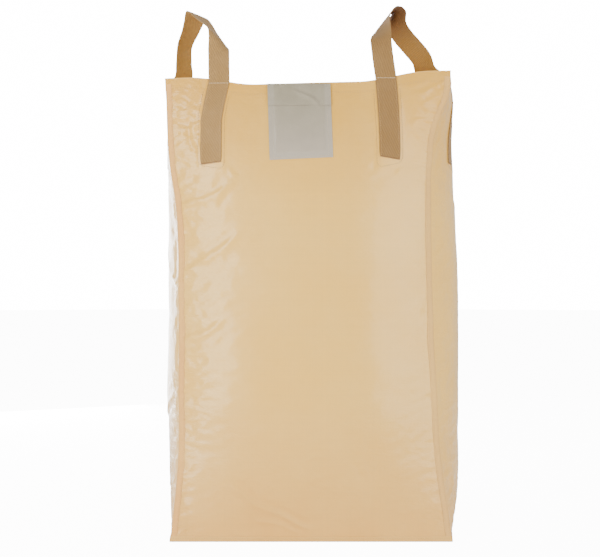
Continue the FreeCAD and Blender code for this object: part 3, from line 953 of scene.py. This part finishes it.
def makePatch(corner, side):
    middle, half = patchMiddle(corner, side), patchShape["width"] / 2
    along, t = np.meshgrid(np.linspace(middle - half, middle + half, 36), np.linspace(0, 1, 36))
    drop = patchShape["depth"] + t * (patchShape["top"] - patchShape["depth"])
    z = rimAbove(side, along) - drop
    thickness = patchShape["thickness"]
    lift = patchShape["lift"] - thickness - panelShape["thickness"]
    piece = clothSheet(f"patch_{corner}_{side}", side, along, z, lift, thickness, innerFabric)
    declareSheet(piece, f"patch_{corner}_on_{side}")


legs = [(corner, side) for corner, pair in sidesOfLoop.items() for side in pair]
for corner, side in legs:
    makePatch(corner, side)
print("stage: patches")


# the lifting webbing: leg, free arch and leg, one length to each corner

archRoute = {
    # outwards, backwards and rise from the front leg's root at the rim; direction across the webbing
    "left": [
        (0.0010, 0.004, 0.056, 1.00, 0.00, 0.00),
        (0.0020, 0.010, 0.110, 1.00, 0.02, -0.06),
        (0.0047, 0.020, 0.154, 0.77, 0.40, -0.63),
        (0.0470, 0.066, 0.211, 0.80, 0.38, -0.50),
        (0.0900, 0.111, 0.262, 0.94, 0.30, -0.30),
        (0.1020, 0.148, 0.246, 0.88, 0.42, -0.14),
        (0.1180, 0.171, 0.211, 0.77, 0.64, 0.00),
        (0.1400, 0.190, 0.164, 0.64, 0.77, 0.00),
        (0.1440, 0.199, 0.106, 0.69, 0.72, 0.00),
        (0.1475, 0.204, 0.046, 0.77, 0.64, 0.00),
    ],
    "right": [
        (-0.0080, 0.004, 0.058, 1.00, 0.00, 0.00),
        (-0.0135, 0.010, 0.108, 1.00, 0.00, 0.00),
        (-0.0150, 0.019, 0.136, 0.96, -0.24, -0.10),
        (-0.0070, 0.038, 0.163, 0.67, -0.72, -0.16),
        (0.0040, 0.062, 0.198, 0.30, -0.93, -0.18),
        (0.0150, 0.085, 0.232, 0.06, -0.98, -0.10),
        (0.0370, 0.106, 0.258, 0.10, -0.99, 0.06),
        (0.0470, 0.124, 0.236, 0.60, -0.60, 0.52),
        (0.0530, 0.142, 0.204, 0.80, -0.14, 0.58),
        (0.0760, 0.156, 0.172, 0.78, 0.00, 0.62),
        (0.1090, 0.170, 0.138, 0.80, 0.00, 0.60),
        (0.1450, 0.184, 0.098, 0.87, -0.04, 0.49),
        (0.1640, 0.194, 0.054, 0.96, -0.24, 0.16),
    ],
}
slumpRoute = {
    # share of the way between the roots, rise, turn of the width in degrees: the back loops have sunk
    "left": [(0.03, 0.058, 0), (0.17, 0.128, 6), (0.46, 0.163, 36), (0.74, 0.139, 66), (0.93, 0.074, 84)],
    "right": [(0.02, 0.060, 0), (0.13, 0.126, 5), (0.37, 0.161, 30), (0.68, 0.143, 62), (0.91, 0.082, 82)],
}
archShape = {"steps": 130, "legSteps": 46, "faceColumns": 11, "edgePoints": 3, "cup": 0.0012,
             "slantLimit": 0.62, "foldPlace": 0.49, "foldLength": 0.090, "foldShade": 0.92,
             "otherCrownShade": 0.3, "roundedFoot": 0.026, "blendFrom": -0.012, "blendTo": 0.060}


def webbingSection():
    # points round the section: the outer face, one edge, the inner face, the other edge
    half, thick = webbing["width"] / 2, webbing["thickness"] / 2
    flat = np.linspace(-half + thick, half - thick, archShape["faceColumns"])
    turn = np.linspace(math.pi / 2, -math.pi / 2, archShape["edgePoints"] + 2)[1:-1]
    edge = [(half - thick + thick * math.cos(a), thick * math.sin(a)) for a in turn]
    outer, inner = [(a, thick) for a in flat], [(a, -thick) for a in flat[::-1]]
    return np.array(outer + edge + inner + [(-a, -o) for a, o in edge])


def between(t, start, end, first, last):
    return (end - t) / (end - start) * first + (t - start) / (end - start) * last


def smoothRoute(points, count):
    # a centripetal curve through the points, evenly spaced
    points = np.array(points, float)
    padded = np.vstack([2 * points[0] - points[1], points, 2 * points[-1] - points[-2]])
    knots = lengthAlong(padded[:, :3], 0.5)
    fine = []
    for k in range(1, len(padded) - 2):
        t0, t1, t2, t3 = knots[k - 1:k + 3]
        p0, p1, p2, p3 = padded[k - 1:k + 3]
        for t in np.linspace(t1, t2, 24, endpoint=False):
            a1, a2 = between(t, t0, t1, p0, p1), between(t, t1, t2, p1, p2)
            a3 = between(t, t2, t3, p2, p3)
            b1, b2 = between(t, t0, t2, a1, a2), between(t, t1, t3, a2, a3)
            fine.append(between(t, t1, t2, b1, b2))
    fine.append(points[-1])
    fine = np.array(fine)
    length = lengthAlong(fine[:, :3])
    even = np.linspace(0, length[-1], count)
    return np.stack([np.interp(even, length, fine[:, k]) for k in range(fine.shape[1])], -1)


def rimOfLoop(corner):
    heights = []
    for side in sidesOfLoop[corner]:
        heights.append(rimAbove(side, np.array([legPlace(corner, side, 0.0)]))[0])
    return sum(heights) / 2


def footTilt(corner, side):
    return webbing["footTilt"][handOf(corner)] if side == "front" else webbing["otherFootTilt"]


def legRings(corner, side, section):
    # rings from the foot up to the rim, on the fabric
    rim = rimOfLoop(corner)
    drop = np.linspace(webbing["legLength"], 0.002, archShape["legSteps"])
    sideways = -1 if facesAcross(side) else 1
    across, dropGrid = np.meshgrid(section[:, 0], drop)
    lift = section[:, 1] + webbing["lift"] + webbing["thickness"] / 2
    tilt = footTilt(corner, side) * smooth(dropGrid / webbing["legLength"] * 1.6 - 0.6)
    z = rim - dropGrid + tilt * across
    rounding = smooth(1 - (webbing["legLength"] - dropGrid) / archShape["roundedFoot"])
    squeeze = 1 - 0.07 * rounding ** 2
    along = legPlace(corner, side, dropGrid) + sideways * across * squeeze
    return clothPoints(side, along, z, lift)


def archRings(corner, section, startRing, endRing):
    hand = handOf(corner)
    outwards = -1 if hand == "left" else 1
    atBack = corner.startswith("back")
    mirrored = np.array([1, -1, 1]) if atBack else np.array([1, 1, 1])
    root, end = startRing.mean(axis=0) * mirrored, endRing.mean(axis=0) * mirrored
    rows = [np.concatenate([root, [1.0, 0.0, 0.0]])]
    if atBack:
        for share, rise, turn in slumpRoute[hand]:
            place = root + (end - root) * share
            place[2] = root[2] + rise
            angle = math.radians(turn)
            rows.append(np.concatenate([place, [math.cos(angle), -outwards * math.sin(angle), 0.0]]))
    else:
        for away, back, rise, *width in archRoute[hand]:
            place = root + np.array([outwards * away, back, rise])
            rows.append(np.concatenate([place, unit(np.array(width))]))
    rows.append(np.concatenate([end, [0.0, -outwards, 0.0]]))
    route = smoothRoute(rows, archShape["steps"])
    centres = route[:, :3] * mirrored
    across = route[:, 3:] * mirrored * mirrored[1]
    tangent = unit(np.gradient(centres, axis=0))
    square = across - tangent * (across * tangent).sum(axis=1, keepdims=True)
    # the crossing lines may slant, as in a folded strap, and the edges stay one width apart
    ruling = across / np.maximum(np.linalg.norm(square, axis=1, keepdims=True), archShape["slantLimit"])
    out = np.cross(unit(square), tangent)
    share = np.linspace(0, 1, len(centres))
    cup = archShape["cup"] * np.sin(np.pi * share)[:, None] * (2 * section[:, 0] / webbing["width"]) ** 2
    rings = centres[:, None] + ruling[:, None] * section[None, :, :1]
    return rings + out[:, None] * (section[None, :, 1] - cup)[..., None]


def makeWebbingLength(corner):
    section = webbingSection()
    first, second = sidesOfLoop[corner]
    legA, legB = legRings(corner, first, section), legRings(corner, second, section)
    arch = archRings(corner, section, legA[-1], legB[-1])
    rings = np.concatenate([legA, arch[2:-2], legB[::-1]])
    along = lengthAlong(rings.mean(axis=1))
    rows, around = rings.shape[:2]
    grid = np.arange(rows * around).reshape(rows, around)
    rolled = np.roll(grid, -1, axis=1)
    faces = np.stack([grid[:-1], rolled[:-1], rolled[1:], grid[1:]], -1).reshape(-1, 4).tolist()
    faces.append(grid[0, ::-1].tolist())
    faces.append(grid[-1].tolist())
    u = np.broadcast_to(section[:, 0], (rows, around))
    uv = np.stack([u, np.broadcast_to(along[:, None], (rows, around))], -1).reshape(-1, 2)
    innerFace = np.broadcast_to((section[:, 1] < 0).astype(float), (rows, around))
    # painted shade on the inner face round the arch's crown, strong on the front right loop and faint on the
    # others
    crown = (np.arange(rows) / (rows - 1) - archShape["foldPlace"]) / archShape["foldLength"]
    crownShade = innerFace * archShape["foldShade"] * np.exp(-crown ** 2)[:, None]
    crownShade = crownShade if corner == "front_right" else crownShade * archShape["otherCrownShade"]
    values = {"innerFace": innerFace, "crownShade": crownShade}
    piece = buildPiece(f"webbing_{corner}", rings.reshape(-1, 3), faces, twillWebbing, uv, values, 70)
    rim = rimOfLoop(corner)
    x, y = (legA[-1].mean(axis=0) + legB[-1].mean(axis=0))[:2] / 2
    start, end = ((x, y, rim + archShape[key]) for key in ("blendFrom", "blendTo"))
    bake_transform(piece)
    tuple(start)
    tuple(end)
    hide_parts(f"lifting_loop_{corner}", *(f"leg_{corner}_on_{side}" for side in sidesOfLoop[corner]))


for corner in sidesOfLoop:
    makeWebbingLength(corner)
print("stage: webbing")


# the document pouch: back sheet, front sheet and flap, of thin film

pouchShape = {
    "width": 0.221, "depth": 0.266, "topPlace": -0.030, "footPlace": -0.021, "belowRim": 0.003,
    "mouthDrop": 0.014, "flapDepth": 0.078, "thickness": 0.0005, "border": 0.020, "borderFade": 0.004,
    "footTilt": 0.045, "backTop": 0.002, "fullness": 0.0022, "flapFullness": 0.0004,
    "backLift": 0.0003, "frontLift": 0.0012, "flapLift": 0.0042, "flapCurl": 0.0003, "flapWave": 0.0006,
    "crease": (-0.042, 1.595, 0.044, 1.532, 0.006, 0.0035),
}


def pouchGrid(topDrop, depth, columns, rows):
    top = rimAbove("front", np.array([pouchShape["topPlace"]]))[0] - pouchShape["belowRim"]
    t, step = np.meshgrid(np.linspace(-1, 1, columns), np.linspace(0, 1, rows))
    drop = depth + step * (topDrop - depth)
    lean = (pouchShape["footPlace"] - pouchShape["topPlace"]) / pouchShape["depth"]
    along = pouchShape["topPlace"] + lean * drop + t * pouchShape["width"] / 2
    tilt = pouchShape["footTilt"] * t * pouchShape["width"] / 2 * (drop / pouchShape["depth"]) ** 2
    return along, top - drop + tilt, t, drop


def makePouchSheet(name, node, topDrop, depth, lift, fullness, body):
    isFlap = body == "flap"
    along, z, t, drop = pouchGrid(topDrop, depth, 60, 26 if isFlap else 70)
    fromEdge = (1 - np.abs(t)) * pouchShape["width"] / 2
    if not isFlap:
        fromEdge = np.minimum(fromEdge, pouchShape["depth"] - drop)
    weld = 1 - smooth((fromEdge - pouchShape["border"]) / pouchShape["borderFade"])
    full = fullness * (0.7 + 0.6 * noiseField(along / 0.09 + 4, z / 0.07 + 4, 21))
    if fullness:
        full = full + creaseAt(along, z, pouchShape["crease"])
    out = lift + full * (1 - weld)
    if isFlap:
        out = out + pouchShape["flapCurl"] * smooth((drop - 0.055) / 0.023)
        out = out + pouchShape["flapWave"] * noiseField(along / 0.05, z / 0.03, 23)
    piece = clothSheet(name, "front", along, z, out, pouchShape["thickness"], pouchFilm, {"weld": weld})
    declareSheet(piece, node, body)


makePouchSheet("pouch_back_film", "pouch_back", pouchShape["backTop"], pouchShape["depth"],
               pouchShape["backLift"], 0.0, "bag")
makePouchSheet("pouch_front_film", "pouch_front", pouchShape["mouthDrop"], pouchShape["depth"],
               pouchShape["frontLift"], pouchShape["fullness"], "bag")
makePouchSheet("pouch_flap_film", "pouch_flap", 0.0, pouchShape["flapDepth"],
               pouchShape["flapLift"], pouchShape["flapFullness"], "flap")
print("stage: pouch")


# stitches: short threads set along the seams by one node tree

stitchSizes = {"length": 0.0062, "pitch": 0.0084, "width": 0.0013, "thickness": 0.0010, "uneven": 0.12}
rowPlaces = {
    "hem": (0.0335, 0.0385),  # below the rim
    "corner": (0.0050, 0.0170),  # in from the corner
    "base": 0.0125,  # above the foot
    "legEdge": 0.0315,  # out from the leg's middle
    "legHalf": 0.0335,  # half a row across a leg
    "legRim": 0.007,  # below the rim
    "legFoot": 0.0035,  # above the leg's foot
    "patchInset": 0.006,
    "patchTurn": 0.022,
    "trimGap": 0.002,
    "lift": 0.0002,
}


def makeStitchTree():
    # an oval bead of thread on each point, turned along its seam and a little uneven in size
    inputs = [("Places", "NodeSocketGeometry", None)]
    for name in ("Stitch Length", "Thread Width", "Thread Thickness", "Uneven"):
        inputs.append((name, "NodeSocketFloat", None))
    inputs.append(("Thread", "NodeSocketMaterial", None))
    outputs = [("Stitches", "NodeSocketGeometry")]
    tree, n, given, result = newGroup("stitchRow", inputs, outputs, "GeometryNodeTree")
    bead = n.add("GeometryNodeMeshUVSphere", None, Segments=6, Rings=4, Radius=0.5).outputs["Mesh"]
    size = n.add("ShaderNodeCombineXYZ", None, i0=given[1], i1=given[2], i2=given[3]).outputs[0]
    stitch = n.add("GeometryNodeTransform", None, Geometry=bead, Scale=size).outputs["Geometry"]
    turn = {}
    for axis, pivot, name in (("X", "AUTO", "heading"), ("Z", "X", "facing")):
        way = n.add("GeometryNodeInputNamedAttribute", {"data_type": "FLOAT_VECTOR"}, Name=name)
        settings = {"axis": axis, "pivot_axis": pivot}
        align = n.add("FunctionNodeAlignRotationToVector", settings, Vector=way.outputs["Attribute"], **turn)
        turn = {"Rotation": align.outputs["Rotation"]}
    low, high = n.math("SUBTRACT", 1.0, given[4]), n.plus(1.0, given[4])
    vary = n.add("FunctionNodeRandomValue", {"data_type": "FLOAT"}, i2=low, i3=high, Seed=5).outputs[1]
    row = n.add("GeometryNodeInstanceOnPoints", None, Points=given[0], Instance=stitch, Scale=vary, **turn)
    real = n.add("GeometryNodeRealizeInstances", None, Geometry=row.outputs["Instances"]).outputs[0]
    rounded = n.add("GeometryNodeSetShadeSmooth", None, Geometry=real).outputs[0]
    coloured = n.add("GeometryNodeSetMaterial", None, Geometry=rounded, Material=given[5]).outputs[0]
    n.feed(result, i0=coloured)
    return tree


stitchTree = makeStitchTree()


def seamRow(side, along, z, lift, pitch=stitchSizes["pitch"]):
    # evenly spaced stitches along a line on a side: places, headings and outward directions
    points = clothPoints(side, along, z, lift)
    length = lengthAlong(points)
    even = np.arange(pitch / 2, length[-1], pitch)

    def evenly(columns):
        return np.stack([np.interp(even, length, column) for column in columns], -1)

    evenAlong, evenZ = evenly((along, z)).T
    facing = skinNormal(side, shareAt(side, evenAlong, evenZ), evenZ)
    row = np.stack([evenly(points.T), unit(evenly(np.gradient(points, axis=0).T)), facing], 1)
    return row, evenAlong, evenZ


def makeStitches(name, rows, thread, node, changed):
    sizes = {**stitchSizes, **changed}
    data = np.concatenate(rows)
    mesh = bpy.data.meshes.new(name + "_places")
    mesh.from_pydata(data[:, 0].tolist(), [], [])
    for key, k in (("heading", 1), ("facing", 2)):
        attribute = mesh.attributes.new(key, "FLOAT_VECTOR", "POINT")
        attribute.data.foreach_set("vector", data[:, k].astype(np.float32).ravel())
    guide = addObject(name + "_places", mesh)
    modifier = guide.modifiers.new("stitches", "NODES")
    modifier.node_group = stitchTree
    items = stitchTree.interface.items_tree
    sockets = {item.name: item.identifier for item in items if item.in_out == "INPUT"}
    settings = {"Stitch Length": sizes["length"], "Thread Width": sizes["width"],
                "Thread Thickness": sizes["thickness"], "Uneven": sizes["uneven"], "Thread": thread}
    for key, value in settings.items():
        modifier[sockets[key]] = value
    bpy.context.view_layer.update()
    evaluated = guide.evaluated_get(bpy.context.evaluated_depsgraph_get())
    result = bpy.data.meshes.new_from_object(evaluated)
    result.name = name
    for key in ("heading", "facing"):
        if key in result.attributes:
            result.attributes.remove(result.attributes[key])
    bpy.data.objects.remove(guide)
    piece = addObject(name, result)
    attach(piece, "bag")
    if node:
        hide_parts(node)


def clearOfTrim(side, along, z):
    # true where no leg and no pouch covers the hem
    clear = np.ones(len(along), dtype=bool)
    drop = rimAbove(side, along) - z
    for corner in cornersAlong(side):
        away = np.abs(along - legPlace(corner, side, drop))
        clear &= away > webbing["width"] / 2 + rowPlaces["trimGap"]
    if side == "front":
        away = np.abs(along - pouchShape["topPlace"])
        clear &= away > pouchShape["width"] / 2 + rowPlaces["trimGap"]
    return clear


def hemRows():
    share = np.linspace(0.006, 0.994, 400)
    for side in sides:
        for drop in rowPlaces["hem"]:
            z = rimAt(side, share) - drop
            row, along, z = seamRow(side, alongAt(side, share, z), z, rowPlaces["lift"])
            yield row[clearOfTrim(side, along, z)]


def cornerRows():
    for corner in sidesOfLoop:
        side, sign = stripSide(corner)
        z = np.linspace(0.02, cornerHeight[handOf(corner)] - 0.030, 500)
        for inset in rowPlaces["corner"]:
            along = alongAt(side, np.full_like(z, sign > 0), z) - sign * inset
            yield seamRow(side, along, z, stripShape["lift"] + stripShape["thickness"])[0]


def baseRows():
    share = np.linspace(0.008, 0.992, 400)
    z = np.full_like(share, rowPlaces["base"])
    for side in sides:
        yield seamRow(side, alongAt(side, share, z), z, stripShape["lift"] * 2 + stripShape["thickness"])[0]


def legRows(kind):
    # rows down both edges of each leg, or one row across it at the rim or at its foot
    lift = webbing["lift"] + webbing["thickness"]
    for corner, side in legs:
        rim = rimOfLoop(corner)
        if kind == "long":
            drop = np.linspace(webbing["legLength"] - 0.008, 0.012, 120)
            for across in (-rowPlaces["legEdge"], rowPlaces["legEdge"]):
                yield seamRow(side, legPlace(corner, side, drop) + across, rim - drop, lift)[0]
            continue
        across = np.linspace(-rowPlaces["legHalf"], rowPlaces["legHalf"], 40)
        drop, tilt, pitch = rowPlaces["legRim"], 0.0, 0.0052
        if kind == "foot":
            drop, pitch = webbing["legLength"] - rowPlaces["legFoot"], 0.0060
            tilt = footTilt(corner, side) * (-1 if facesAcross(side) else 1)
        along = legPlace(corner, side, drop) + across
        yield seamRow(side, along, rim - drop + tilt * across, lift, pitch)[0]


def patchRows():
    # the row that holds the patch runs down both sides of the leg and curves under its foot
    gap, turn = patchShape["sewnHalf"] - rowPlaces["patchInset"], rowPlaces["patchTurn"]
    straight = np.linspace(0.046, webbing["legLength"] - turn + 0.020, 120)
    bend = np.linspace(0, math.pi / 2, 20)[1:]
    floorAcross = np.linspace(-gap + turn, gap - turn, 40)[1:-1]
    across = np.concatenate([np.full_like(straight, -gap), -gap + turn * (1 - np.cos(bend))])
    drop = np.concatenate([straight, straight[-1] + turn * np.sin(bend)])
    across = np.concatenate([across, floorAcross, -across[::-1]])
    drop = np.concatenate([drop, np.full_like(floorAcross, drop[-1]), drop[::-1]])
    for corner, side in legs:
        along = legPlace(corner, side, drop) + across
        yield seamRow(side, along, rimAbove(side, along) - drop, rowPlaces["lift"])[0]


def pouchRows():
    lift = pouchShape["frontLift"] + pouchShape["thickness"] + 0.0001
    along, z = pouchGrid(pouchShape["flapDepth"] + 0.004, pouchShape["depth"] - 0.006, 60, 60)[:2]
    for line in ((slice(None), 4), (slice(None), -5), (0, slice(4, -4))):
        yield seamRow("front", along[line], z[line], lift, 0.0070)[0]


stitching = [  # name, rows, thread, CAD node that it replaces, sizes that differ
    ("hem", hemRows(), "golden", "hem_stitching", {}),
    ("corners", cornerRows(), "golden", "corner_stitching", {}),
    ("base", baseRows(), "golden", "base_stitching", {}),
    ("legs", legRows("long"), "golden", "leg_stitching", {"length": 0.0056, "width": 0.0012}),
    ("rim", legRows("rim"), "pale", None, {"length": 0.0050, "width": 0.0020}),
    ("feet", legRows("foot"), "brown", None, {"length": 0.0050, "width": 0.0020}),
    ("patches", patchRows(), "olive", None, {"length": 0.0066, "width": 0.0020}),
    ("pouch", pouchRows(), "pale", "pouch_stitching",
     {"length": 0.0045, "width": 0.0009, "thickness": 0.0007}),
]
for place, rows, thread, node, changed in stitching:
    makeStitches(f"stitches_{place}", list(rows), threads[thread], node, changed)
print("stage: stitches")


# floor and light

studio = {
    "floor": rgb(246, 246, 246),
    "floorClouds": rgb(242, 242, 242),
    "floorRadius": 30,
    "floorHeight": -0.0005,
    "world": (1.0, 1.0, 1.0),
    "worldStrength": 0.80,
    "backdropStrength": 16.0,
    "floorGlow": 12.0,
}
lamps = [  # name, place, aim, width, height, power, colour
    ("key", (-2.6, -2.8, 1.25), (0.0, -0.3, 0.8), 1.4, 2.9, 122, (1.0, 0.98, 0.95)),
    ("left edge", (-2.1, 3.3, 1.2), (-0.5, 0.0, 0.9), 2.2, 3.0, 190, (0.97, 0.98, 1.0)),
    ("fill", (3.2, -2.7, 1.25), (0.3, 0.0, 0.7), 2.8, 2.8, 112, (1.0, 0.98, 0.95)),
    ("back", (0.3, 3.6, 2.8), (0.0, 0.2, 1.0), 1.8, 1.8, 40, (1.0, 1.0, 1.0)),
]


def addFloor():
    count = 64
    angles = np.linspace(0, 2 * np.pi, count, endpoint=False)
    radius, height = studio["floorRadius"], np.full(count, studio["floorHeight"])
    points = np.stack([radius * np.cos(angles), radius * np.sin(angles), height], -1)
    mesh = bpy.data.meshes.new("floor")
    mesh.from_pydata(points.tolist(), [], [list(range(count))])
    material, n, shader = newMaterial("pale floor")
    place = n.place()
    tone = n.mix(n.noise(place, 3.0), studio["floor"], studio["floorClouds"])
    n.feed(shader, Base_Color=tone, Roughness=0.75, Emission_Color=(1.0, 1.0, 1.0, 1.0))
    seen = n.add("ShaderNodeLightPath").outputs["Is Camera Ray"]
    n.feed(shader, Emission_Strength=n.times(seen, studio["floorGlow"]))
    mesh.materials.append(material)
    addObject("floor", mesh)


def addLamps():
    for name, place, aim, width, height, power, colour in lamps:
        data = bpy.data.lights.new(name, "AREA")
        data.shape = "RECTANGLE"
        data.size = width
        data.size_y = height
        data.energy = power
        data.color = colour
        lamp = addObject(name, data)
        lamp.location = place
        lamp.visible_camera = False
        lamp.rotation_euler = (Vector(aim) - Vector(place)).to_track_quat("-Z", "Y").to_euler()
    world = bpy.data.worlds.new("studio")
    world.use_nodes = True
    sky = world.node_tree.nodes["Background"]
    n = Nodes(world.node_tree)
    seen = n.add("ShaderNodeLightPath").outputs["Is Camera Ray"]
    strength = n.spread(seen, 0.0, 1.0, studio["worldStrength"], studio["backdropStrength"])
    n.feed(sky, Color=(*studio["world"], 1.0), Strength=strength)
    bpy.context.scene.world = world


addFloor()
addLamps()
print("stage: floor and light")
